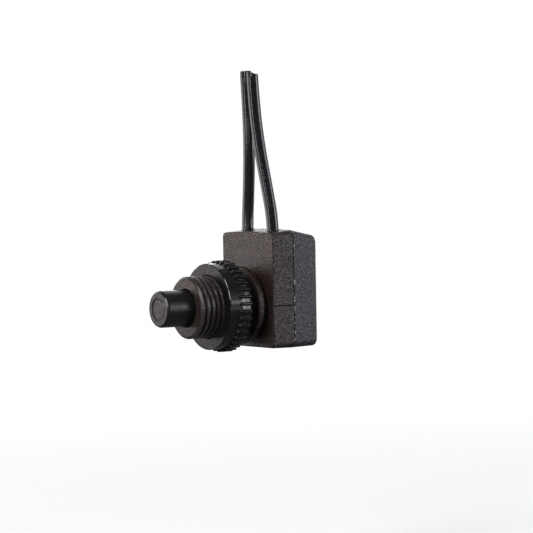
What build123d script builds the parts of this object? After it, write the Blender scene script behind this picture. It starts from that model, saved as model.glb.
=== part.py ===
from build123d import *
import os
from math import cos, pi, radians, sin, tan

# Panel-mounted push-on, push-off switch.
# Millimetres. The origin is on the bushing axis, in the plane of the panel seat.
# The button points along -Y, the case lies along +Y and the leads rise along +Z.

# Case outline, seen from the button's side, with the bushing axis at x = 0, z = 0
housing_width = 14.9
housing_top = 12.0
housing_bottom = 7.0
front_corner = 0.7
split_corner = 1.1
top_crown = 0.2

# Case depth and draft
boss_radius = 6.47
boss_length = 2.1
shoulder_thickness = 0.95
neck_radius = 5.5
front_depth = 4.1
cover_depth = 5.08
top_flare = 0.45
side_flare = 0.08
cover_top_draft = 1.05
cover_side_draft = 0.35
cover_bottom_draft = 0.12
cover_edge_radius = 0.7
cover_edge_steps = 3
seam_bevel = 0.08
wall = 1.2
lip_length = 0.7
lip_thickness = 0.7
lip_clearance = 0.05

# Bushing
thread_radius = 5.15
bushing_length = 10.4
bushing_chamfer = 0.55
entry_clearance = 0.32
entry_depth = 1.5
guide_length = 3.9
chamber_radius = 3.9

# Push button
button_radius = 3.03
button_reach = 5.25
button_chamfer = 0.32
button_travel = 2.4
dish_radius = 1.92
dish_depth = 0.15
slide_clearance = 0.06
flange_clearance = 0.15
flange_thickness = 0.9
stop_gap = 0.1
button_bore_depth = 8.0

# Ring nut
panel_gap = 2.1
nut_length = 4.06
nut_inset = 0.31
nut_edge = 0.12
nut_clearance = 0.08
rib_count = 38
rib_length = 2.2
rib_height = 0.46
rib_width = 0.62

# Ratchet between button and rotor
tooth_count = 4
crown_inner_radius = 1.45
crown_outer_radius = 2.35
drive_span = 45.0
back_span = 30.0
tooth_gap = 0.2
tooth_root = 0.6
tooth_edge = 0.02
flank_steps = 4

# Rotor on its post
post_radius = 1.0
post_clearance = 0.06
post_base_radius = 1.9
post_base_length = 3.58
rotor_seat_gap = 0.1
rotor_hub_radius = 1.9
rotor_hub_length = 1.4
rotor_flange_radius = 3.6
rotor_flange_thickness = 1.0

# Contacts
bridge_thickness = 0.4
bridge_margin = 0.1
bridge_width = 2.6
contact_gap = 0.35
rivet_radius = 0.6
rivet_height = 0.35
strip_thickness = 0.4
strip_width = 2.0
strip_foot = 1.2
strip_side_gap = 0.6
crimp_bottom = 4.4
crimp_length = 3.0
crimp_wall = 0.4
crimp_tab_height = 1.0

# Return spring
spring_wire = 0.45
spring_radius = 3.0
spring_turns = 6
spring_seat_gap = 0.05

# Leads
lead_diameter = 2.0
lead_spacing = 7.6
lead_setback = 2.7
lead_hole_clearance = 0.1
conductor_radius = 0.5
conductor_clearance = 0.02
strip_back = 0.6
arc_share = 0.45

# Free run of each lead above the case, as points on its centre line
left_run = [
    (-3.80, 4.80, 13.6),
    (-3.00, 4.62, 19.0),
    (-1.95, 4.18, 26.0),
    (-1.60, 3.82, 33.0),
    (-2.08, 3.80, 39.0),
]
right_run = [
    (3.80, 4.80, 13.6),
    (2.76, 4.50, 19.0),
    (1.43, 3.97, 26.0),
    (0.68, 3.52, 33.0),
    (0.48, 3.40, 38.4),
]

# How far a cutting solid runs past the face that it cuts
past = 1.0

# Stations along the Y axis
y_bushing = -bushing_length
y_button = y_bushing - button_reach
y_step = y_bushing + entry_depth + guide_length
y_front = boss_length
y_split = y_front + front_depth
y_back = y_split + cover_depth
y_cavity = y_front + wall
y_floor = y_back - wall
y_rotor_seat = y_floor - post_base_length
y_hub_back = y_rotor_seat - rotor_seat_gap
y_flange_back = y_hub_back - rotor_hub_length
y_flange_front = y_flange_back - rotor_flange_thickness
y_bridge_back = y_flange_back + bridge_thickness
y_rivet_tip = y_bridge_back + contact_gap
y_strip_front = y_rivet_tip + rivet_height
y_strip_back = y_strip_front + strip_thickness
y_button_flange = y_step + stop_gap
y_spring_front = y_button_flange + flange_thickness
y_button_crown = y_flange_front - tooth_gap - 2 * button_travel
y_lead = y_front + lead_setback

# Sizes that follow the case: the nut is about as wide, and the contacts lie inside its lip
nut_radius = housing_width / 2 - nut_inset
lip_inner_x = housing_width / 2 - wall - lip_clearance - lip_thickness
rivet_offset = lip_inner_x - strip_side_gap - strip_width / 2
bridge_reach = rivet_offset + rivet_radius + bridge_margin

# Leads and crimps
lead_x = lead_spacing / 2
lead_radius = lead_diameter / 2
crimp_inner_radius = conductor_radius + conductor_clearance
crimp_outer_radius = crimp_inner_radius + crimp_wall
crimp_top = crimp_bottom + crimp_length
insulation_bottom = crimp_top + strip_back


def rod(radius, y0, y1, x=0, z=0):
    """A cylinder along Y from y0 to y1."""
    return Pos(x, (y0 + y1) / 2, z) * Rot(90, 0, 0) * Cylinder(radius, y1 - y0)


def post(radius, x, y, z0, z1):
    """A cylinder along Z from z0 to z1."""
    return Pos(x, y, (z0 + z1) / 2) * Cylinder(radius, z1 - z0)


def block(x0, x1, y0, y1, z0, z1):
    """A box between two corners."""
    centre = Pos((x0 + x1) / 2, (y0 + y1) / 2, (z0 + z1) / 2)
    return centre * Box(x1 - x0, y1 - y0, z1 - z0)


def turned(profile):
    """A solid turned about the Y axis from (radius, y) points."""
    return revolve(make_face(Polyline(*profile, close=True)), axis=Axis.Y)


def case_outline(y, half_width, bottom, top, corner, crown):
    """Rounded outline of the case across Y, with a slightly arched top edge."""
    left, right = -half_width, half_width
    quarter = corner * (1 - cos(pi / 4))
    edges = [
        Line((left, -bottom + corner), (left, top - corner)),
        ThreePointArc((left, top - corner), (left + quarter, top - quarter), (left + corner, top)),
        ThreePointArc((left + corner, top), (0, top + crown), (right - corner, top)),
        ThreePointArc((right - corner, top), (right - quarter, top - quarter), (right, top - corner)),
        Line((right, top - corner), (right, -bottom + corner)),
        ThreePointArc(
            (right, -bottom + corner), (right - quarter, -bottom + quarter), (right - corner, -bottom)
        ),
        Line((right - corner, -bottom), (left + corner, -bottom)),
        ThreePointArc(
            (left + corner, -bottom), (left + quarter, -bottom + quarter), (left, -bottom + corner)
        ),
    ]
    return Plane((0, y, 0), x_dir=(1, 0, 0), z_dir=(0, -1, 0)) * make_face(Curve() + edges)


def split_outline(y, inset):
    """Outline of the case near the seam between its two halves."""
    return case_outline(
        y,
        housing_width / 2 + side_flare - inset,
        housing_bottom + side_flare - inset,
        housing_top + top_flare - inset,
        split_corner - inset / 2,
        top_crown,
    )


def cover_outline(y, inset):
    """Outline of the rear cover between the seam and its back, with its draft."""
    share = (y - y_split) / cover_depth
    return case_outline(
        y,
        housing_width / 2 + side_flare - cover_side_draft * share - inset,
        housing_bottom + side_flare - cover_bottom_draft * share - inset,
        housing_top + top_flare - cover_top_draft * share - inset,
        split_corner - inset / 2,
        top_crown,
    )


def cavity(y0, y1, inset):
    """Room inside the case between y0 and y1, inset from the front outline."""
    half_width = housing_width / 2 - inset
    return block(-half_width, half_width, y0, y1, -housing_bottom + inset, housing_top - inset)


def front_housing():
    front = case_outline(
        y_front, housing_width / 2, housing_bottom, housing_top, front_corner, top_crown
    )
    sections = [front, split_outline(y_split - seam_bevel, 0), split_outline(y_split, seam_bevel)]
    shell = loft(sections, ruled=True)
    nose = turned(
        [
            (0, y_cavity),
            (neck_radius, y_cavity),
            (neck_radius, shoulder_thickness),
            (boss_radius, shoulder_thickness),
            (boss_radius, 0),
            (thread_radius, 0),
            (thread_radius, y_bushing + bushing_chamfer),
            (thread_radius - bushing_chamfer, y_bushing),
            (0, y_bushing),
        ]
    )
    bore = rod(button_radius + entry_clearance, y_bushing - past, y_bushing + entry_depth)
    bore += rod(button_radius + slide_clearance, y_bushing, y_step)
    bore += rod(chamber_radius, y_step, y_split)
    body = shell + nose - bore - cavity(y_cavity, y_split + past, wall)
    for side in (-1, 1):
        body -= post(
            lead_radius + lead_hole_clearance, side * lead_x, y_lead, crimp_top, housing_top + wall
        )
    return body


def rear_cover():
    sections = [split_outline(y_split, seam_bevel), cover_outline(y_split + seam_bevel, 0)]
    for step in range(cover_edge_steps + 1):
        turn = step / cover_edge_steps * pi / 2
        y = y_back - cover_edge_radius * (1 - sin(turn))
        sections.append(cover_outline(y, cover_edge_radius * (1 - cos(turn))))
    shell = loft(sections, ruled=True)
    inner_wall = wall + cover_side_draft
    cover_top = housing_top + top_flare - cover_top_draft - wall
    half_width = housing_width / 2 - inner_wall
    room = block(
        -half_width, half_width, y_split - past, y_floor, -housing_bottom + inner_wall, cover_top
    )
    lip_front = y_split - lip_length
    lip_back = y_split + wall
    lip = cavity(lip_front, lip_back, wall + lip_clearance)
    lip -= cavity(lip_front - past, lip_back + past, wall + lip_clearance + lip_thickness)
    lip -= block(
        -housing_width, housing_width, lip_front - past, lip_back + past, crimp_bottom, housing_top
    )
    pivot = rod(post_base_radius, y_rotor_seat, y_floor) + rod(post_radius, y_flange_front, y_floor)
    cover = shell - room + lip + pivot
    for side in (-1, 1):
        inner = side * rivet_offset - strip_width / 2
        cover += block(
            inner, inner + strip_width, y_strip_back, y_floor, -strip_foot, crimp_bottom
        )
    return cover


def ring_nut():
    y_rear = -panel_gap
    y_face = y_rear - nut_length
    bore_radius = thread_radius + nut_clearance
    ring = turned(
        [
            (bore_radius + nut_edge, y_face),
            (nut_radius - nut_edge, y_face),
            (nut_radius, y_face + nut_edge),
            (nut_radius, y_rear),
            (bore_radius + nut_edge, y_rear),
            (bore_radius, y_rear - nut_edge),
            (bore_radius, y_face + nut_edge),
        ]
    )
    straight = rib_length - rib_width / 2
    plan = Pos(0, y_rear - straight / 2) * Rectangle(rib_width, straight)
    plan += Pos(0, y_rear - straight) * Circle(rib_width / 2)
    rib = Pos(0, 0, nut_radius - rib_height) * extrude(plan, 2 * rib_height)
    return ring + [Rot(0, 360 / rib_count * i, 0) * rib for i in range(rib_count)]


def crown_teeth(y_root, direction, first, rise, fall):
    """Saw teeth on a ring round the Y axis, each a ruled solid between radial sections."""
    stations = [(i / flank_steps * rise, i / flank_steps) for i in range(flank_steps + 1)]
    stations += [(rise + i / flank_steps * fall, 1 - i / flank_steps) for i in range(1, flank_steps + 1)]
    teeth = []
    for tooth in range(tooth_count):
        wires = []
        for angle, share in stations:
            turn = radians(first + angle + tooth * 360 / tooth_count)
            tip = y_root + direction * max(share * button_travel, tooth_edge)
            foot = y_root - direction * tooth_root
            corners = [(crown_inner_radius, foot), (crown_outer_radius, foot)]
            corners += [(crown_outer_radius, tip), (crown_inner_radius, tip)]
            points = [(r * sin(turn), y, r * cos(turn)) for r, y in corners]
            wires.append(Wire.make_polygon(points, close=True))
        teeth.append(Solid.make_loft(wires, ruled=True))
    return teeth


def push_button():
    body = turned(
        [
            (0, y_button + dish_depth),
            (dish_radius - dish_depth, y_button + dish_depth),
            (dish_radius, y_button),
            (button_radius - button_chamfer, y_button),
            (button_radius, y_button + button_chamfer),
            (button_radius, y_button_flange),
            (chamber_radius - flange_clearance, y_button_flange),
            (chamber_radius - flange_clearance, y_spring_front),
            (crown_outer_radius, y_spring_front),
            (crown_outer_radius, y_button_crown),
            (crown_inner_radius, y_button_crown),
            (crown_inner_radius, y_button_crown - button_bore_depth),
            (0, y_button_crown - button_bore_depth),
        ]
    )
    return body + crown_teeth(y_button_crown, 1, 0, drive_span, back_span)


def ratchet_rotor():
    bore_radius = post_radius + post_clearance
    body = turned(
        [
            (bore_radius, y_flange_front),
            (rotor_flange_radius, y_flange_front),
            (rotor_flange_radius, y_flange_back),
            (rotor_hub_radius, y_flange_back),
            (rotor_hub_radius, y_hub_back),
            (bore_radius, y_hub_back),
        ]
    )
    first = drive_span - back_span
    return body + crown_teeth(y_flange_front, -1, first, back_span, drive_span)


def return_spring():
    length = y_flange_front - y_spring_front - 2 * spring_seat_gap - spring_wire
    pitch = length / spring_turns
    start = y_spring_front + spring_seat_gap + spring_wire / 2
    path = Helix(pitch, length, spring_radius, center=(0, start, 0), direction=(0, 1, 0))
    section = Plane(path @ 0, z_dir=path % 0) * Circle(spring_wire / 2)
    return sweep(section, path=path, is_frenet=True)


def contact_bridge():
    arm = block(
        -bridge_width / 2, bridge_width / 2, y_flange_back, y_bridge_back, -bridge_reach, bridge_reach
    )
    ring = rod(rotor_hub_radius + bridge_width / 2, y_flange_back, y_bridge_back)
    return arm + ring - rod(rotor_hub_radius, y_flange_back - past, y_bridge_back + past)


def fixed_contact(side):
    inner = side * rivet_offset - strip_width / 2
    tab_half = crimp_outer_radius
    strip = block(
        inner,
        inner + strip_width,
        y_strip_front,
        y_strip_back,
        -strip_foot,
        crimp_bottom + crimp_tab_height,
    )
    tab = block(
        side * lead_x - tab_half,
        side * lead_x + tab_half,
        y_lead,
        y_strip_back,
        crimp_bottom,
        crimp_bottom + crimp_tab_height,
    )
    barrel = post(crimp_outer_radius, side * lead_x, y_lead, crimp_bottom, crimp_top)
    hole = post(crimp_inner_radius, side * lead_x, y_lead, crimp_bottom - past, crimp_top + past)
    return strip + tab + barrel - hole


def contact_rivet(side):
    dome = turned(
        [
            (0, y_strip_front),
            (rivet_radius, y_strip_front),
            (rivet_radius, y_strip_front - rivet_height / 2),
            (rivet_radius / 2, y_rivet_tip),
            (0, y_rivet_tip),
        ]
    )
    return Pos(side * rivet_offset, 0, 0) * dome


def lead(side, run):
    """Insulated lead: straight runs joined by arcs as large as the runs allow."""
    points = [(side * lead_x, y_lead, insulation_bottom)] + run
    points = [Vector(*p) for p in points]
    radii = []
    for before, corner, after in zip(points, points[1:], points[2:]):
        turn = radians((corner - before).get_angle(after - corner))
        shorter = min((corner - before).length, (after - corner).length)
        radii.append(arc_share * shorter / tan(turn / 2))
    path = FilletPolyline(*points, radius=radii)
    print("lead", side, "length", round(path.length, 2), "radii", [round(r, 1) for r in radii])
    section = Plane(path @ 0, z_dir=path % 0) * Circle(lead_radius)
    return sweep(section, path=path)


def conductor(side):
    return post(conductor_radius, side * lead_x, y_lead, crimp_bottom, insulation_bottom)


nodes = {
    "front_housing": front_housing(),
    "rear_cover": rear_cover(),
    "ring_nut": ring_nut(),
    "push_button": push_button(),
    "return_spring": return_spring(),
    "ratchet_rotor": ratchet_rotor(),
    "contact_bridge": contact_bridge(),
    "lead_left": lead(-1, left_run),
    "lead_right": lead(1, right_run),
}
for name, side in (("left", -1), ("right", 1)):
    nodes[f"fixed_contact_{name}"] = fixed_contact(side)
    nodes[f"contact_rivet_{name}"] = contact_rivet(side)
    nodes[f"conductor_{name}"] = conductor(side)

os.makedirs("parts", exist_ok=True)
for name, solid in nodes.items():
    export_step(solid, f"parts/{name}.step")
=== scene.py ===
from math import cos, degrees, floor, hypot, pi, radians, sin, sqrt

import bmesh
import bpy
from mathutils import Matrix, Vector


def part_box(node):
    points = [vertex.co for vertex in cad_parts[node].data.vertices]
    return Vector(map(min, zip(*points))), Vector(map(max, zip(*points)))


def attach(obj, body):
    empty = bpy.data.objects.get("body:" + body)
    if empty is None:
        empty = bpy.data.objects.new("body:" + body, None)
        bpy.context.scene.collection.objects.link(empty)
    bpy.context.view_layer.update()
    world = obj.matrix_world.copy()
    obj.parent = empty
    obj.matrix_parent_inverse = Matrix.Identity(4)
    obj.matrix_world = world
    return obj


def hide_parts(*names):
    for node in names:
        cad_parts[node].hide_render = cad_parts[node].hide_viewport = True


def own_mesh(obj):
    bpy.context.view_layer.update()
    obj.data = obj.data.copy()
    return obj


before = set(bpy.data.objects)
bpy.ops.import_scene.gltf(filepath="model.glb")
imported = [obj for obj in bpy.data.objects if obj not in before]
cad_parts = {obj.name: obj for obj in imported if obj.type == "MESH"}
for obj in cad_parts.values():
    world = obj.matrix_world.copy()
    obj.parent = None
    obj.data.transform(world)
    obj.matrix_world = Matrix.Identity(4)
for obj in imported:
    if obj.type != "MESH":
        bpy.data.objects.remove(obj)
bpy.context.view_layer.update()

# Lengths are in millimetres, as in the part's source, and become metres where a mesh is made.
# Turns are in degrees. The bushing axis is x = 0, z = 0, the button points along -Y and the leads
# rise along +Z.
MM = 0.001

housing_low, housing_high = (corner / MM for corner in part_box("front_housing"))
cover_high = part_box("rear_cover")[1] / MM
nut_low, nut_high = (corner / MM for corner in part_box("ring_nut"))
button_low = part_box("push_button")[0] / MM
spring_low, spring_high = (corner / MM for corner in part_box("return_spring"))

# Stations along the axis
y_button = button_low.y
y_bushing = housing_low.y
y_nut_face, y_nut_rear = nut_low.y, nut_high.y
y_split = housing_high.y
y_back = cover_high.y
y_front = 2.1

# Case
top_crown = 0.2
split_half_width = housing_high.x
split_bottom = -housing_low.z
split_top = housing_high.z - top_crown
split_corner = 1.1
side_flare = 0.08
top_flare = 0.45
front_corner = 0.7
front_edge = 0.2
cover_top_draft = 1.05
cover_side_draft = 0.35
cover_bottom_draft = 0.12
cover_edge = 0.7
seam_gap = 0.14
seam_round = 0.06
seam_depth = 0.3
speck_full, speck_reach = 0.13, 0.25
wall = 1.2
lip_length, lip_thickness, lip_clearance, lip_top = 0.7, 0.7, 0.05, 4.4
corner_steps, crown_steps = 8, 8
front_edge_steps, cover_edge_steps = 4, 8

# The mould's parting line at both sides: a groove in the case, and a ridge on the bushing
parting_half, parting_depth = 0.10, 0.18
ridge_height, ridge_half_turn = 0.04, 0.6

# Shoulder, bushing and its thread, whose half crest and flank are shares of the pitch
boss_radius = 6.47
boss_edge = 0.1
boss_edge_steps = 4
shoulder_thickness = 0.95
neck_radius = 5.5
thread_radius = 5.15
thread_root = 4.62
thread_pitch = 1.03
thread_half_crest, thread_flank = 0.17, 0.29
thread_first_crest = -9.27
thread_runout = 0.25
thread_land = 0.35
thread_steps = 18
bushing_sides = 144
bushing_chamfer, chamfer_slope, face_cone = 0.4, 1.2, 0.04
entry_radius, entry_depth, entry_edge = 3.2, 1.5, 0.04
guide_radius, guide_length = 3.09, 3.9
chamber_radius = 3.9

# Ring nut: a rib's flat top and its mesh lines are shares of half its width
nut_edge = 0.11
nut_bore = 5.23
rib_count = 38
rib_length = 2.2
rib_height = 0.46
rib_width = 0.62
rib_flat = 0.3
rib_lines = (0.22, 0.43, 0.62, 0.78, 0.9, 0.97, 1.0, 1.2)
rib_end_length, rib_end_drop = 0.08, 0.06
nut_radius = nut_high.z - rib_height

# Push button and its ratchet
button_radius = 3.03
button_bevel, button_taper, button_taper_length = 0.18, 0.12, 0.3
button_sides = 96
dish_radius, dish_depth = 1.92, 0.15
groove_wall, groove_floor, disc_depth = 0.09, 0.12, 0.07
flange_radius, flange_front, flange_back = 3.75, -4.9, -4.0
crown_root, crown_inner, crown_outer = -1.0, 1.45, 2.35
button_bore_depth = 8.0
tooth_count, tooth_rise, tooth_drive, tooth_back = 4, 2.4, 45.0, 30.0
tooth_sink, tooth_least = 0.6, 0.02
tooth_steps = 4

# Faces with a material of their own: a front face of nut or button is this close to its plane and looks
# this squarely forward, and a face of the thread is this far behind the rim and at most this far below
# the root
face_reach, face_forward = 0.3, 0.9
thread_margin = 0.1

# Rotor's post and the contacts' rests inside the cover
post_base_radius, post_base_front = 1.9, 6.5
post_radius, post_front = 1.0, 4.0
post_sides = 48
rest_inner, rest_outer, rest_bottom, rest_front = 2.9, 4.9, -1.2, 6.5

# Return spring
spring_wire = 0.45
spring_turns = 6
spring_steps, spring_sides = 40, 12

# Leads: the route's points are those of the part's source
lead_diameter = 2.0
lead_sides = 32
lead_hole_radius, lead_hole_sides = 1.1, 48
route_steps = 16
cut_edge, cut_shoulder = 0.08, 0.98
left_cut_lip, right_cut_lip, lip_power = 0.0, 0.5, 1.3
core_radius, core_recess = 0.56, 0.12
strand_radius, strand_count, strand_sides = 0.18, 6, 10
strand_edge, strand_tip = 0.05, 0.6
lead_left_route = [
    (-3.80, 4.80, 8.0),
    (-3.80, 4.80, 13.6),
    (-3.00, 4.62, 19.0),
    (-1.95, 4.18, 26.0),
    (-1.60, 3.82, 33.0),
    (-2.08, 3.80, 39.0),
]
lead_right_route = [
    (3.80, 4.80, 8.0),
    (3.80, 4.80, 13.6),
    (2.76, 4.50, 19.0),
    (1.43, 3.97, 26.0),
    (0.68, 3.52, 33.0),
    (0.48, 3.40, 38.4),
]

# Camera, found from the photograph: the picture is this wide at the object's distance
camera_azimuth = 55.449
camera_elevation = 2.089
camera_roll = 0.990
camera_distance = 400.0
picture_width = 89.0
aim_right, aim_up = 3.04, 6.38
sensor_width = 36.0
nearest_seen, farthest_seen = 10.0, 20000.0

# Lights in metres: direction from the object, distance, width and height, brightness and colour
white, warm, cool = (1.0, 1.0, 1.0), (1.0, 0.88, 0.87), (0.88, 0.93, 1.0)
lights = {
    "front_low": ((0.494, -0.806, 0.37), 0.45, (0.09, 0.14), 10.0, white),
    "front_high": ((0.21, -0.74, 0.64), 0.45, (0.09, 0.22), 10.0, white),
    "front_strip": ((0.02, -1.0, 0.02), 0.50, (0.045, 0.14), 12.0, white),
    "left_light": ((-0.82, -0.58, 0.0), 0.50, (0.36, 0.36), 2.6, warm),
    "right_strip": ((0.74, 0.66, 0.08), 0.50, (0.03, 0.26), 14.0, cool),
    "right_fill": ((0.58, 0.81, 0.05), 0.50, (0.22, 0.36), 3.8, cool),
    "right_spot": ((0.80, 0.57, 0.16), 0.55, (0.05, 0.07), 4.5, white),
    "back_light": ((-0.80, 0.55, 0.19), 0.50, (0.30, 0.08), 3.4, white),
}

# Surroundings: each pair is where a fade starts and ends. Towards is the share of a direction that
# points to the camera's side, from -1 to 1. Height is the share that points up, and for the backdrop
# and the low white it counts downwards as well.
room_level, backdrop_level = 0.12, 0.5
backdrop_towards, backdrop_height = (0.30, 0.75), (0.35, 0.65)
low_white_towards, low_white_height = (-0.9, -0.5), (0.15, 0.55)
high_white_towards, high_white_start, high_white_end = (-0.62, -0.36), (0.16, 0.34), (0.70, 0.84)

# Floor: its height is in millimetres, and its size and reaches are in metres from below the object
floor_height = -45.0
floor_half_size = 3.0
floor_grey, floor_pale = 0.2, 0.6
floor_glow_reach, floor_glow = (0.05, 0.6), (0.61, 0.88)
floor_mirrored_reach = (0.3, 0.6)


# Mesh tools

def ring_of(bm, points):
    """New vertices at points given in millimetres."""
    return [bm.verts.new(Vector(p) * MM) for p in points]


def skin(bm, rings):
    """Quads between closed rings of equal length, one after another."""
    for a, b in zip(rings, rings[1:]):
        for i in range(len(a)):
            bm.faces.new((a[i - 1], a[i], b[i], b[i - 1]))


def capped(bm, rings):
    """Quads between closed rings, with a face over the first and the last."""
    skin(bm, rings)
    bm.faces.new(rings[0])
    bm.faces.new(rings[-1])


def fill_between(bm, *loops):
    """Flat triangles inside the first closed loop and outside the others."""
    edges = []
    for loop in loops:
        for i in range(len(loop)):
            pair = (loop[i - 1], loop[i])
            edges.append(bm.edges.get(pair) or bm.edges.new(pair))
    bmesh.ops.triangle_fill(bm, use_beauty=True, edges=edges)


def rectangle(bm, x0, x1, z0, z1, y):
    return ring_of(bm, [(x1, y, z0), (x1, y, z1), (x0, y, z1), (x0, y, z0)])


def polar(radius, y, turn):
    """A point round the Y axis; a turn of 0 is straight up and 90 is +X."""
    return (radius * sin(radians(turn)), y, radius * cos(radians(turn)))


def even_turns(count):
    return [360 * i / count for i in range(count)]


def revolved(bm, rows, turns):
    """Rings round the Y axis, one for each (radius, y) row."""
    return [ring_of(bm, [polar(radius, y, turn) for turn in turns]) for radius, y in rows]


def round_about(centre, along, radius, sides, shift=0.0):
    """Points of a circle square to a direction, moved along it by shift."""
    along = along.normalized()
    across = Vector((0, 1, 0)).cross(along).normalized()
    other = along.cross(across)
    turns = [2 * pi * i / sides for i in range(sides)]
    return [centre + along * shift + (across * cos(t) + other * sin(t)) * radius for t in turns]


def rounded(start, end, centre, steps):
    """(radius, y) points of a quarter ellipse about a centre, from start to end."""
    points = []
    for i in range(steps + 1):
        a = i / steps * pi / 2
        points.append([c + (s - c) * cos(a) + (e - c) * sin(a) for s, e, c in zip(start, end, centre)])
    return points


def new_piece(name, bm, smooth_angle=35, flat_weighted=False):
    """A shaded object from a bmesh, with edges sharper than the angle left crisp."""
    bmesh.ops.recalc_face_normals(bm, faces=bm.faces)
    mesh = bpy.data.meshes.new(name)
    bm.to_mesh(mesh)
    bm.free()
    piece = bpy.data.objects.new(name, mesh)
    bpy.context.scene.collection.objects.link(piece)
    shade(piece, smooth_angle, flat_weighted)
    return piece


def shade(piece, smooth_angle, flat_weighted):
    """Smooth shading, with flat faces kept flat where asked."""
    piece.data.shade_smooth()
    piece.data.set_sharp_from_angle(angle=radians(smooth_angle))
    if flat_weighted:
        modifier = piece.modifiers.new("flat_faces", "WEIGHTED_NORMAL")
        modifier.keep_sharp = True


def combine(piece, other, operation):
    """Cuts or joins another closed mesh into the piece and removes the other."""
    piece.modifiers.clear()
    modifier = piece.modifiers.new(operation, "BOOLEAN")
    modifier.operation = operation
    modifier.solver = "EXACT"
    modifier.object = other
    graph = bpy.context.evaluated_depsgraph_get()
    mesh = bpy.data.meshes.new_from_object(piece.evaluated_get(graph))
    piece.modifiers.clear()
    piece.data = mesh
    bpy.data.objects.remove(other)


def dress(piece, body, node, material, second=None, chosen=None):
    """Puts a piece on a body in place of a node, with its material and a second one on chosen faces."""
    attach(piece, body)
    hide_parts(node)
    piece.data.materials.clear()
    piece.data.materials.append(material)
    if second:
        piece.data.materials.append(second)
        for polygon in piece.data.polygons:
            polygon.material_index = int(chosen(polygon))


def on_front(y_face):
    """Test for the faces that look forward close to a plane."""
    def test(polygon):
        close = abs(polygon.center.y - y_face * MM) < face_reach * MM
        return close and polygon.normal.y < -face_forward
    return test


def on_thread(polygon):
    """Test for the faces of the bushing's thread."""
    x, y, z = polygon.center / MM
    along = y_bushing + thread_margin < y < -boss_edge / 2
    return along and hypot(x, z) > thread_root - thread_margin


# Case

def case_ring(y, half_width, bottom, top, corner, parting=0.0):
    """Outline of the case, with a slightly arched top and the mould's parting line at the sides."""
    right = [(half_width, -parting_half), (half_width - parting, 0), (half_width, parting_half)]
    points = list(right)
    arcs = [
        (half_width - corner, top - corner, 0),
        (-half_width + corner, top - corner, 90),
        (-half_width + corner, -bottom + corner, 180),
        (half_width - corner, -bottom + corner, 270),
    ]
    for x, z, first in arcs:
        for i in range(corner_steps + 1):
            a = radians(first + 90 * i / corner_steps)
            points.append((x + corner * cos(a), z + corner * sin(a)))
        if first == 0:
            span = half_width - corner
            for i in range(1, crown_steps):
                share = 1 - 2 * i / crown_steps
                points.append((span * share, top + top_crown * (1 - share * share)))
        if first == 90:
            points += [(-x, -z) for x, z in right]
    return [(x, y, z) for x, z in points]


def front_ring(y, inset):
    """Outline of the front housing, which flares towards the seam."""
    share = (y - y_front) / (y_split - y_front)
    return case_ring(
        y,
        split_half_width - side_flare * (1 - share) - inset,
        split_bottom - side_flare * (1 - share) - inset,
        split_top - top_flare * (1 - share) - inset,
        front_corner + (split_corner - front_corner) * share - inset / 2,
        parting_depth,
    )


def cover_ring(y, inset):
    """Outline of the cover, which narrows towards the back."""
    share = (y - y_split) / (y_back - y_split)
    return case_ring(
        y,
        split_half_width - cover_side_draft * share - inset,
        split_bottom - cover_bottom_draft * share - inset,
        split_top - cover_top_draft * share - inset,
        split_corner - inset / 2,
    )


def edge_rounding(y_flat, edge, inward, steps):
    """(y, inset) pairs from a flat end face round its edge onto the sides."""
    pairs = []
    for i in range(steps + 1):
        a = (1 - i / steps) * pi / 2
        pairs.append((y_flat + inward * edge * (1 - sin(a)), edge * (1 - cos(a))))
    return pairs


def seam_edge(outward):
    """(y, inset) pairs from the case's side into the seam."""
    y_lip = y_split + outward * seam_gap / 2
    return [
        (y_lip + outward * seam_round, 0),
        (y_lip, seam_round),
        (y_lip, seam_depth),
        (y_split, seam_depth),
    ]


def thread_at(y, turn):
    """Radius of the bushing at a place, with a right-hand thread that runs out at the front chamfer."""
    phase = (y - thread_first_crest) / thread_pitch - turn / 360
    away = abs(phase - floor(phase + 0.5))
    depth = min(1, max(0, (away - thread_half_crest) / thread_flank))
    depth = depth * depth * (3 - 2 * depth)
    depth *= min(1, max(0, -y / thread_runout))
    depth *= min(1, max(0, (y - y_bushing - thread_land) / thread_runout))
    at = thread_radius - (thread_radius - thread_root) * depth
    return min(at, thread_radius - chamfer_slope * (y_bushing + bushing_chamfer - y))


def parting_ridge(turn):
    """Height of the mould's parting line, which runs along both sides at axis height."""
    away = min(abs(turn - 90), abs(turn - 270))
    return ridge_height * max(0, 1 - away / ridge_half_turn)


def nose_ring(y, radius, turns):
    """Ring round the shoulder or, where no radius is given, round the thread."""
    points = []
    for turn in turns:
        at = thread_at(y, turn) if radius is None else radius
        points.append(polar(at + parting_ridge(turn), y, turn))
    return points


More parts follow.
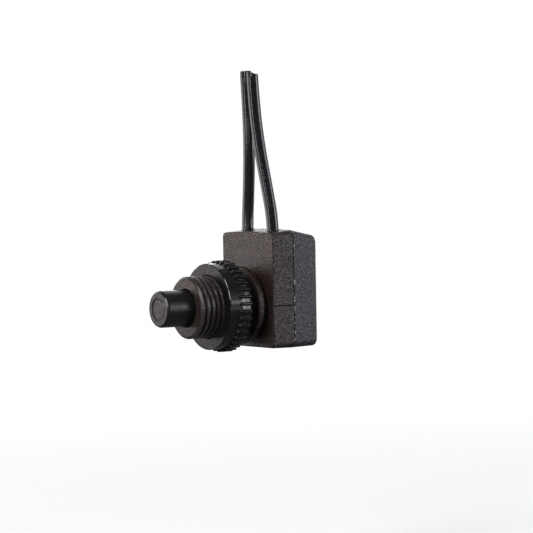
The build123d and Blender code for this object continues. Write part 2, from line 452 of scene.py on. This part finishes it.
def front_shell(material, thread_material):
    """Front half of the case, with the shoulder, the threaded bushing, its bore and the lead holes."""
    bm = bmesh.new()
    sides = edge_rounding(y_front, front_edge, 1, front_edge_steps) + seam_edge(-1)
    outer = [ring_of(bm, front_ring(y, inset)) for y, inset in sides]
    skin(bm, outer)

    turns = even_turns(bushing_sides)
    for side in (90, 270):
        turns += [side + ridge_half_turn * share for share in (-2, -1, -0.5, 0.5, 1, 2)]
    turns = sorted(turns)
    inner = boss_radius - boss_edge
    y_rear = shoulder_thickness - boss_edge
    rows = [(neck_radius, y_front), (neck_radius, shoulder_thickness)]
    rows += rounded((inner, shoulder_thickness), (boss_radius, y_rear), (inner, y_rear), boss_edge_steps)
    rows += rounded((boss_radius, boss_edge), (inner, 0), (inner, boss_edge), boss_edge_steps)
    y_rim = y_bushing + face_cone
    count = round(-y_rim / thread_pitch * thread_steps)
    rows += [(None, y_rim * i / count) for i in range(count + 1)]
    nose = [ring_of(bm, nose_ring(y, radius, turns)) for radius, y in rows]

    y_step = y_bushing + entry_depth + guide_length
    y_cavity = y_front + wall
    bore_rows = [
        (entry_radius + entry_edge, y_bushing),
        (entry_radius, y_bushing + entry_edge),
        (entry_radius, y_bushing + entry_depth),
        (guide_radius, y_bushing + entry_depth),
        (guide_radius, y_step),
        (chamber_radius, y_step),
        (chamber_radius, y_cavity),
    ]
    bore = revolved(bm, bore_rows, turns)
    skin(bm, nose + bore)

    half_width = split_half_width - side_flare - wall
    bottom = split_bottom - side_flare - wall
    top = split_top - top_flare - wall
    room = [rectangle(bm, -half_width, half_width, -bottom, top, y) for y in (y_cavity, y_split)]
    skin(bm, room)
    fill_between(bm, outer[0], nose[0])
    fill_between(bm, room[0], bore[-1])
    fill_between(bm, outer[-1], room[1])
    piece = new_piece("front_shell", bm)

    holes = bmesh.new()
    up = Vector((0, 0, 1))
    for route in (lead_left_route, lead_right_route):
        x, y, z = route[0]
        ends = [
            ring_of(holes, round_about(Vector((x, y, end)), up, lead_hole_radius, lead_hole_sides))
            for end in (z, split_top + wall)
        ]
        capped(holes, ends)
    combine(piece, new_piece("lead_holes", holes), "DIFFERENCE")
    shade(piece, smooth_angle=35, flat_weighted=True)
    dress(piece, "case", "front_housing", material, thread_material, on_thread)


def rear_shell(material):
    """Cover, with the rotor's post, the contacts' rests and the lip that fits into the front half."""
    bm = bmesh.new()
    sides = edge_rounding(y_back, cover_edge, -1, cover_edge_steps) + seam_edge(1)
    outer = [ring_of(bm, cover_ring(y, inset)) for y, inset in sides]
    skin(bm, outer)
    bm.faces.new(outer[0])

    y_floor = y_back - wall
    inner_wall = wall + cover_side_draft
    half_width = split_half_width - side_flare - inner_wall
    bottom = split_bottom - side_flare - inner_wall
    top = split_top - cover_top_draft - wall
    room = [rectangle(bm, -half_width, half_width, -bottom, top, y) for y in (y_floor, y_split)]
    skin(bm, room)
    fill_between(bm, outer[-1], room[1])

    post_rows = [
        (post_base_radius, y_floor),
        (post_base_radius, post_base_front),
        (post_radius, post_base_front),
        (post_radius, post_front),
    ]
    post = revolved(bm, post_rows, even_turns(post_sides))
    skin(bm, post)
    bm.faces.new(post[-1])
    feet = [post[0]]
    for x0, x1 in ((-rest_outer, -rest_inner), (rest_inner, rest_outer)):
        rest = [rectangle(bm, x0, x1, rest_bottom, lip_top, y) for y in (y_floor, rest_front)]
        skin(bm, rest)
        bm.faces.new(rest[1])
        feet.append(rest[0])
    fill_between(bm, room[0], *feet)
    piece = new_piece("rear_shell", bm)

    lip = bmesh.new()
    x1 = split_half_width - side_flare - wall - lip_clearance
    z1 = split_bottom - side_flare - wall - lip_clearance
    x0, z0 = x1 - lip_thickness, z1 - lip_thickness
    outline = [(-x1, lip_top), (-x1, -z1), (x1, -z1), (x1, lip_top)]
    outline += [(x0, lip_top), (x0, -z0), (-x0, -z0), (-x0, lip_top)]
    ends = [
        ring_of(lip, [(x, y, z) for x, z in outline]) for y in (y_split - lip_length, y_split + wall)
    ]
    capped(lip, ends)
    combine(piece, new_piece("cover_lip", lip), "UNION")
    shade(piece, smooth_angle=35, flat_weighted=True)
    dress(piece, "case", "rear_cover", material)


# Ring nut

def rib_rise(across, along):
    """Height of a rib at a place, from its middle line and from the start of its round end."""
    away = hypot(across, max(0, along)) / (rib_width / 2)
    if away >= 1:
        return 0
    shoulder = max(0, (away - rib_flat) / (1 - rib_flat))
    return rib_height * sqrt(1 - shoulder * shoulder)


def nut_shell(material, face_material):
    """Ring nut, whose ribs start at its rear end and have round ends towards its face."""
    half = rib_width / 2
    columns = []
    for i in range(rib_count):
        for share in (*(-line for line in reversed(rib_lines)), 0, *rib_lines):
            columns.append((360 * i / rib_count + degrees(share * half / nut_radius), share * half))

    y_straight = y_nut_rear - rib_length + half
    rows = [
        (nut_bore + nut_edge, y_nut_face),
        (nut_radius - nut_edge, y_nut_face),
        (nut_radius, y_nut_face + nut_edge),
    ]
    rows += [(nut_radius, y_straight - line * half) for line in (*reversed(rib_lines), 0)]
    rows += [
        (nut_radius, y_nut_rear - rib_end_length),
        (nut_radius - rib_end_drop, y_nut_rear),
        (nut_bore + nut_edge, y_nut_rear),
        (nut_bore, y_nut_rear - nut_edge),
        (nut_bore, y_nut_face + nut_edge),
    ]
    bm = bmesh.new()
    rings = []
    for radius, y in rows:
        ribbed = radius > nut_radius - nut_edge / 2
        points = []
        for turn, across in columns:
            rise = rib_rise(across, y_straight - y) if ribbed else 0
            points.append(polar(radius + rise, y, turn))
        rings.append(ring_of(bm, points))
    skin(bm, rings + rings[:1])
    piece = new_piece("nut_shell", bm, smooth_angle=40, flat_weighted=True)
    dress(piece, "nut", "ring_nut", material, face_material, on_front(y_nut_face))


# Push button

def saw_teeth(bm):
    """Teeth of the ratchet on the button's inner end: a long drive flank and a short back one."""
    shares = [i / tooth_steps for i in range(tooth_steps + 1)]
    stations = [(share * tooth_drive, share) for share in shares]
    stations += [(tooth_drive + share * tooth_back, 1 - share) for share in shares[1:]]
    foot = crown_root - tooth_sink
    for tooth in range(tooth_count):
        sections = []
        for angle, share in stations:
            turn = angle + tooth * 360 / tooth_count
            tip = crown_root + max(share * tooth_rise, tooth_least)
            corners = [(crown_inner, foot), (crown_outer, foot), (crown_outer, tip), (crown_inner, tip)]
            sections.append(ring_of(bm, [polar(radius, y, turn) for radius, y in corners]))
        capped(bm, sections)


def button_shell(material, face_material):
    """Push button, with a groove round the disc in its face, a flange, a bore and the ratchet's teeth."""
    rim_radius = button_radius - button_taper
    rows = [
        (dish_radius - 2 * groove_wall - groove_floor, y_button + disc_depth),
        (dish_radius - groove_wall - groove_floor, y_button + dish_depth),
        (dish_radius - groove_wall, y_button + dish_depth),
        (dish_radius, y_button),
        (rim_radius - button_bevel, y_button),
        (rim_radius, y_button + button_bevel),
        (button_radius, y_button + button_bevel + button_taper_length),
        (button_radius, flange_front),
        (flange_radius, flange_front),
        (flange_radius, flange_back),
        (crown_outer, flange_back),
        (crown_outer, crown_root),
        (crown_inner, crown_root),
        (crown_inner, crown_root - button_bore_depth),
    ]
    bm = bmesh.new()
    capped(bm, revolved(bm, rows, even_turns(button_sides)))
    piece = new_piece("button_shell", bm)
    teeth = bmesh.new()
    saw_teeth(teeth)
    combine(piece, new_piece("button_teeth", teeth), "UNION")
    shade(piece, smooth_angle=20, flat_weighted=True)
    in_face = on_front(y_button)
    dress(piece, "button", "push_button", material, face_material, in_face)


# Return spring

def spring_coil(material):
    """Coil of the return spring, wound evenly from its front end to its rear end."""
    radius = spring_high.x - spring_wire / 2
    y0, y1 = spring_low.y + spring_wire / 2, spring_high.y - spring_wire / 2
    steps = spring_steps * spring_turns
    around = [2 * pi * k / spring_sides for k in range(spring_sides)]
    axis = Vector((0, 1, 0))
    bm = bmesh.new()
    rings = []
    for i in range(steps + 1):
        turn = 2 * pi * spring_turns * i / steps
        out = Vector((sin(turn), 0, cos(turn)))
        centre = out * radius + axis * (y0 + (y1 - y0) * i / steps)
        points = [centre + (out * cos(a) + axis * sin(a)) * spring_wire / 2 for a in around]
        rings.append(ring_of(bm, points))
    capped(bm, rings)
    piece = new_piece("spring_coil", bm)
    dress(piece, "case", "return_spring", material)
    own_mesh(piece)


# Leads

def smooth_line(route):
    """Points along the NURBS spline whose control points are the route's, in millimetres."""
    line = bpy.data.curves.new("route", "CURVE")
    line.dimensions = "3D"
    line.resolution_u = route_steps
    spline = line.splines.new("NURBS")
    spline.points.add(len(route) - 1)
    for point, place in zip(spline.points, route):
        point.co = (*(Vector(place) * MM), 1)
    spline.order_u = 3
    spline.use_endpoint_u = True
    holder = bpy.data.objects.new("route", line)
    bpy.context.scene.collection.objects.link(holder)
    graph = bpy.context.evaluated_depsgraph_get()
    mesh = bpy.data.meshes.new_from_object(holder.evaluated_get(graph))
    points = [vertex.co / MM for vertex in mesh.vertices]
    bpy.data.objects.remove(holder)
    bpy.data.meshes.remove(mesh)
    return points


def lifted(spot, tip, radius, lip):
    """A point of the cut end, raised towards the side that faces the button."""
    share = max(0.0, (tip.y - spot.y) / radius)
    return spot + Vector((0, 0, lip * share ** lip_power))


def lead(side, route, cut_lip, skin_material, core_material):
    """One insulated lead on a smooth line, with its strands in the cut end."""
    points = smooth_line(route)
    radius = lead_diameter / 2
    bm = bmesh.new()
    rings = []
    for i, point in enumerate(points[:-1]):
        along = points[i + 1] - points[max(0, i - 1)]
        rings.append(ring_of(bm, round_about(point, along, radius, lead_sides)))
    tip, along = points[-1], points[-1] - points[-2]
    for share, shift in ((1, -cut_edge), (cut_shoulder, -cut_edge / 3), (1 - cut_edge / radius, 0)):
        spots = round_about(tip, along, radius * share, lead_sides, shift)
        rings.append(ring_of(bm, [lifted(spot, tip, radius, cut_lip) for spot in spots]))
    for shift in (0, -core_recess * 2):
        rings.append(ring_of(bm, round_about(tip, along, core_radius, lead_sides, shift)))
    capped(bm, rings)
    piece = new_piece(f"lead_{side}_insulation", bm)
    dress(piece, "case", f"lead_{side}", skin_material)

    strands = bmesh.new()
    rows = [(1, -core_recess * 2), (1, -core_recess - strand_edge), (strand_tip, -core_recess)]
    for place in [tip] + round_about(tip, along, 2 * strand_radius, strand_count):
        ends = [
            ring_of(strands, round_about(place, along, strand_radius * share, strand_sides, shift))
            for share, shift in rows
        ]
        capped(strands, ends)
    core = new_piece(f"lead_{side}_strands", strands)
    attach(core, "case")
    core.data.materials.append(core_material)

    x, y, z = route[0]


# Materials

class Nodes:
    """A node tree, and short calls for its nodes."""

    def __init__(self, tree):
        self.tree = tree

    def node(self, kind, **values):
        node = self.tree.nodes.new(kind)
        for name, value in values.items():
            setattr(node, name, value)
        return node

    def join(self, output, socket):
        self.tree.links.new(output, socket)

    def give(self, value, socket):
        """Links an output to a socket, or sets the socket's own value."""
        if isinstance(value, bpy.types.NodeSocket):
            self.join(value, socket)
        else:
            socket.default_value = value

    def math(self, operation, *values):
        node = self.node("ShaderNodeMath", operation=operation)
        for value, socket in zip(values, node.inputs):
            self.give(value, socket)
        return node.outputs[0]

    def split(self, vector):
        """The X, Y and Z outputs of a vector."""
        node = self.node("ShaderNodeSeparateXYZ")
        self.join(vector, node.inputs[0])
        return node.outputs

    def spread(self, value, low, high, to_low, to_high, form="LINEAR"):
        """Value moved from one range to another, and held at its ends."""
        node = self.node("ShaderNodeMapRange", clamp=True, interpolation_type=form)
        ends = {"From Min": low, "From Max": high, "To Min": to_low, "To Max": to_high}
        for name, number in ends.items():
            node.inputs[name].default_value = number
        self.join(value, node.inputs["Value"])
        return node.outputs["Result"]

    def fade(self, value, start, end):
        """1 up to start, then softly down to 0 at end."""
        return self.spread(value, start, end, 1, 0, "SMOOTHSTEP")

    def mix_shaders(self, share, first, second):
        node = self.node("ShaderNodeMixShader")
        for output, socket in zip((share, first, second), node.inputs):
            self.join(output, socket)
        return node.outputs[0]

    def shown(self, share):
        """1 for the camera's rays, and the share for those that are reflected or pass through."""
        rays = self.node("ShaderNodeLightPath").outputs
        mirrored = self.math("MAXIMUM", rays["Is Glossy Ray"], rays["Is Transmission Ray"])
        return self.math("MAXIMUM", rays["Is Camera Ray"], self.math("MULTIPLY", mirrored, share))


class Shader(Nodes):
    """A material with a Principled shader."""

    def __init__(self, name):
        self.material = bpy.data.materials.new(name)
        self.material.use_nodes = True
        super().__init__(self.material.node_tree)
        self.principled = self.tree.nodes["Principled BSDF"]
        self.place = self.node("ShaderNodeTexCoord").outputs["Object"]

    def noise(self, size_mm, detail=2.0, roughness=0.5):
        """Noise from 0 to 1 with features about this large."""
        node = self.node("ShaderNodeTexNoise")
        node.inputs["Scale"].default_value = 1 / (size_mm * MM)
        node.inputs["Detail"].default_value = detail
        node.inputs["Roughness"].default_value = roughness
        self.join(self.place, node.inputs["Vector"])
        return node.outputs["Fac"]

    def mix(self, share, dark, light):
        """Colour between two colours, each given by its numbers or by an output."""
        node = self.node("ShaderNodeMix", data_type="RGBA")
        self.join(share, node.inputs["Factor"])
        for colour, socket in ((dark, node.inputs[6]), (light, node.inputs[7])):
            self.give((*colour, 1) if isinstance(colour, tuple) else colour, socket)
        return node.outputs[2]

    def bump(self, height, depth_mm, strength, before=None):
        node = self.node("ShaderNodeBump")
        node.inputs["Distance"].default_value = depth_mm * MM
        node.inputs["Strength"].default_value = strength
        self.join(height, node.inputs["Height"])
        if before is not None:
            self.join(before, node.inputs["Normal"])
        return node.outputs["Normal"]

    def set(self, **sockets):
        """Sets or links the shader's sockets; an underscore stands for a space."""
        for name, value in sockets.items():
            self.give(value, self.principled.inputs[name.replace("_", " ")])
        return self.material


def seam_specks(s):
    """1 on small specks of flash along the seam, and 0 elsewhere."""
    away = s.math("ABSOLUTE", s.math("SUBTRACT", s.split(s.place)["Y"], y_split * MM))
    close = s.fade(away, speck_full * MM, speck_reach * MM)
    blotches = s.noise(size_mm=0.36, roughness=0.6)
    return s.math("MULTIPLY", close, s.spread(blotches, 0.59, 0.65, 0, 1))


def case_plastic(name, light_grain, pit_shine, top_shine):
    """Dark grey-brown moulding with a fine spark-eroded grain, painted shade in its pits and painted
    sheen on its tops, and scuffed flash along the seam.
    """
    s = Shader(name)
    grain = s.noise(size_mm=0.23, roughness=0.6)
    dark_grain, flash = (0.008, 0.006, 0.006), (0.90, 0.88, 0.85)
    plain = s.mix(s.spread(grain, 0.40, 0.66, 0, 1), dark_grain, light_grain)
    return s.set(
        Base_Color=s.mix(seam_specks(s), plain, flash),
        Roughness=s.spread(grain, 0.35, 0.65, 0.46, 0.28),
        # Less shine in the grain's pits and more on its tops: painted shade and painted sheen.
        Specular_IOR_Level=s.spread(grain, 0.38, 0.62, pit_shine, top_shine),
        Normal=s.bump(grain, depth_mm=0.12, strength=1.0),
    )


def gloss_black(name, roughness, specular, grain_strength):
    """Black polished moulding with faint flow marks."""
    s = Shader(name)
    cloud = s.noise(size_mm=1.6)
    fine = s.noise(size_mm=0.2, detail=3, roughness=0.6)
    waves = s.bump(cloud, depth_mm=0.03, strength=0.15)
    return s.set(
        Base_Color=s.mix(cloud, (0.007, 0.007, 0.0075), (0.015, 0.0148, 0.015)),
        Roughness=s.spread(fine, 0.3, 0.7, roughness * 0.8, roughness * 1.25),
        Specular_IOR_Level=specular,
        Normal=s.bump(fine, depth_mm=0.012, strength=grain_strength, before=waves),
    )


def polished_thread_painted_light():
    """The case's plastic where the mould's thread has left it smooth, painted lighter than the case as
    painted light on the thread's crests.
    """
    s = Shader("thread_plastic_painted_light")
    fine = s.noise(size_mm=0.25, roughness=0.6)
    # Lighter than the case's own colour: painted light on the thread.
    dark, light = (0.014, 0.010, 0.010), (0.086, 0.067, 0.066)
    return s.set(
        Base_Color=s.mix(s.spread(fine, 0.35, 0.65, 0, 1), dark, light),
        Roughness=s.spread(fine, 0.3, 0.7, 0.26, 0.36),
        Normal=s.bump(fine, depth_mm=0.04, strength=0.5),
    )


def matt_face(name, specular, light):
    """Fine matt front face of a black moulding."""
    s = Shader(name)
    fine = s.noise(size_mm=0.35, roughness=0.6)
    return s.set(
        Base_Color=s.mix(s.spread(fine, 0.35, 0.65, 0, 1), (0.003, 0.003, 0.003), (light, light, light)),
        Roughness=0.40,
        Specular_IOR_Level=s.spread(fine, 0.38, 0.62, specular * 0.65, specular * 1.25),
        Normal=s.bump(fine, depth_mm=0.05, strength=0.5),
    )


def insulation():
    """Black soft insulation with a slightly pebbled skin."""
    s = Shader("lead_insulation")
    pebble = s.noise(size_mm=0.45, roughness=0.6)
    dark, light = (0.009, 0.009, 0.011), (0.019, 0.0185, 0.023)
    return s.set(
        Base_Color=s.mix(s.spread(pebble, 0.35, 0.65, 0, 1), dark, light),
        Roughness=s.spread(pebble, 0.3, 0.7, 0.05, 0.12),
        Specular_IOR_Level=0.42,
        Normal=s.bump(pebble, depth_mm=0.03, strength=0.28),
    )


def bare_metal(name, colour, roughness):
    """Drawn or stamped metal with fine variation in its polish."""
    s = Shader(name)
    fine = s.noise(size_mm=0.3, detail=3)
    darker = tuple(c * 0.8 for c in colour)
    return s.set(
        Base_Color=s.mix(fine, darker, colour),
        Metallic=1.0,
        Roughness=s.spread(fine, 0.3, 0.7, roughness * 0.8, roughness * 1.2),
        Normal=s.bump(fine, depth_mm=0.005, strength=0.3),
    )


def nylon():
    """Natural nylon moulding."""
    s = Shader("rotor_plastic")
    cloud = s.noise(size_mm=1.2)
    return s.set(
        Base_Color=s.mix(cloud, (0.62, 0.60, 0.53), (0.74, 0.72, 0.66)),
        Roughness=s.spread(cloud, 0.3, 0.7, 0.35, 0.5),
        Subsurface_Weight=0.1,
        Subsurface_Radius=(0.001, 0.001, 0.0008),
        Normal=s.bump(s.noise(size_mm=0.15), depth_mm=0.01, strength=0.3),
    )


# Object

front_shell(
    case_plastic("case_plastic", light_grain=(0.068, 0.038, 0.035), pit_shine=0.25, top_shine=0.53),
    polished_thread_painted_light(),
)
rear_shell(
    case_plastic("cover_plastic", light_grain=(0.076, 0.077, 0.095), pit_shine=0.32, top_shine=0.45)
)
nut_shell(
    gloss_black("nut_plastic", roughness=0.12, specular=0.36, grain_strength=0.15),
    matt_face("nut_face", specular=0.26, light=0.010),
)
button_shell(
    gloss_black("button_plastic", roughness=0.25, specular=0.5, grain_strength=0.12),
    matt_face("button_face", specular=0.35, light=0.018),
)
spring_coil(bare_metal("spring_steel", (0.62, 0.62, 0.62), roughness=0.28))
lead_material = insulation()
copper = bare_metal("copper", (0.72, 0.40, 0.25), roughness=0.35)
lead("left", lead_left_route, left_cut_lip, lead_material, copper)
lead("right", lead_right_route, right_cut_lip, lead_material, copper)

brass = bare_metal("contact_brass", (0.75, 0.58, 0.28), roughness=0.3)
rivet = bare_metal("rivet_metal", (0.80, 0.80, 0.78), roughness=0.2)
inner_materials = {"ratchet_rotor": nylon(), "contact_bridge": brass}
for side in ("left", "right"):
    inner_materials[f"fixed_contact_{side}"] = brass
    inner_materials[f"contact_rivet_{side}"] = rivet
    inner_materials[f"conductor_{side}"] = copper
for node, material in inner_materials.items():
    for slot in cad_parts[node].material_slots:
        slot.material = material


# Camera

azimuth, elevation, roll = (radians(a) for a in (camera_azimuth, camera_elevation, camera_roll))
sideways = Vector((cos(azimuth), sin(azimuth), 0))
towards_camera = Vector((sin(azimuth) * cos(elevation), -cos(azimuth) * cos(elevation), sin(elevation)))
upright = towards_camera.cross(sideways)
camera_right = sideways * cos(roll) - upright * sin(roll)
camera_up = sideways * sin(roll) + upright * cos(roll)
aim = Vector((0, y_front, 0)) + aim_right * camera_right + aim_up * camera_up
camera = bpy.data.objects.new("camera", bpy.data.cameras.new("camera"))
bpy.context.scene.collection.objects.link(camera)
camera.data.sensor_width = sensor_width
camera.data.lens = sensor_width * camera_distance / picture_width
camera.data.clip_start, camera.data.clip_end = nearest_seen * MM, farthest_seen * MM
axes = Matrix((camera_right, camera_up, towards_camera)).transposed().to_4x4()
camera.matrix_world = Matrix.Translation((aim + camera_distance * towards_camera) * MM) @ axes
bpy.context.scene.camera = camera


# Light

def soft_box(name, direction, distance, size, brightness, colour):
    """Soft light that shines on the object; brightness is that of its own surface."""
    lamp = bpy.data.lights.new(name, "AREA")
    lamp.shape = "RECTANGLE"
    width, height = size
    lamp.size, lamp.size_y = width, height
    lamp.energy = brightness * pi * width * height
    lamp.color = colour
    box = bpy.data.objects.new(name, lamp)
    bpy.context.scene.collection.objects.link(box)
    towards = Vector(direction).normalized()
    box.location = towards * distance
    box.rotation_euler = towards.to_track_quat("Z", "Y").to_euler()


for name, values in lights.items():
    soft_box(name, *values)


def studio_world():
    """Dim room with a backdrop, white to the camera and to reflections of what is behind the object."""
    world = bpy.data.worlds.new("studio")
    bpy.context.scene.world = world
    world.use_nodes = True
    world.node_tree.nodes.clear()
    sky = Nodes(world.node_tree)

    direction = sky.node("ShaderNodeTexCoord").outputs["Generated"]
    product = sky.node("ShaderNodeVectorMath", operation="DOT_PRODUCT")
    sky.join(direction, product.inputs[0])
    product.inputs[1].default_value = (sin(azimuth), -cos(azimuth), 0)
    towards = product.outputs["Value"]
    height = sky.split(direction)["Z"]
    off_level = sky.math("ABSOLUTE", height)

    backdrop = sky.math(
        "MULTIPLY", sky.fade(towards, *backdrop_towards), sky.fade(off_level, *backdrop_height)
    )
    low_white = sky.math(
        "MULTIPLY", sky.fade(towards, *low_white_towards), sky.fade(off_level, *low_white_height)
    )
    band = sky.math("SUBTRACT", sky.fade(height, *high_white_end), sky.fade(height, *high_white_start))
    high_white = sky.math("MULTIPLY", sky.fade(towards, *high_white_towards), band)
    behind = sky.math("MAXIMUM", low_white, high_white)

    room, plain_white = (sky.node("ShaderNodeBackground") for i in range(2))
    for background in (room, plain_white):
        background.inputs["Color"].default_value = (1, 1, 1, 1)
    sky.join(sky.math("MULTIPLY_ADD", backdrop, backdrop_level, room_level), room.inputs["Strength"])
    surface = sky.mix_shaders(sky.shown(behind), room.outputs[0], plain_white.outputs[0])
    sky.join(surface, sky.node("ShaderNodeOutputWorld").inputs["Surface"])


studio_world()


# Floor

def pale_floor():
    """Large pale floor with the object's soft shadow, dark to reflections where it is close below."""
    bm = bmesh.new()
    bmesh.ops.create_grid(bm, x_segments=1, y_segments=1, size=floor_half_size)
    mesh = bpy.data.meshes.new("floor")
    bm.to_mesh(mesh)
    bm.free()
    floor_object = bpy.data.objects.new("floor", mesh)
    floor_object.location.z = floor_height * MM
    bpy.context.scene.collection.objects.link(floor_object)

    material = bpy.data.materials.new("floor")
    material.use_nodes = True
    material.node_tree.nodes.clear()
    ground = Nodes(material.node_tree)
    away = ground.node("ShaderNodeVectorMath", operation="LENGTH")
    ground.join(ground.node("ShaderNodeTexCoord").outputs["Object"], away.inputs[0])
    distance = away.outputs["Value"]
    matt, pale = (ground.node("ShaderNodeBsdfDiffuse") for i in range(2))
    for shader, level in ((matt, floor_grey), (pale, floor_pale)):
        shader.inputs["Color"].default_value = (level, level, level, 1)
    glow = ground.node("ShaderNodeEmission")
    strength = ground.spread(distance, *floor_glow_reach, *floor_glow, "SMOOTHSTEP")
    ground.join(strength, glow.inputs["Strength"])
    bright = ground.node("ShaderNodeAddShader")
    ground.join(pale.outputs[0], bright.inputs[0])
    ground.join(glow.outputs[0], bright.inputs[1])
    far = ground.spread(distance, *floor_mirrored_reach, 0, 1, "SMOOTHSTEP")
    surface = ground.mix_shaders(ground.shown(far), matt.outputs[0], bright.outputs[0])
    ground.join(surface, ground.node("ShaderNodeOutputMaterial").inputs["Surface"])
    mesh.materials.append(material)


pale_floor()

bpy.context.scene.view_settings.view_transform = "Standard"
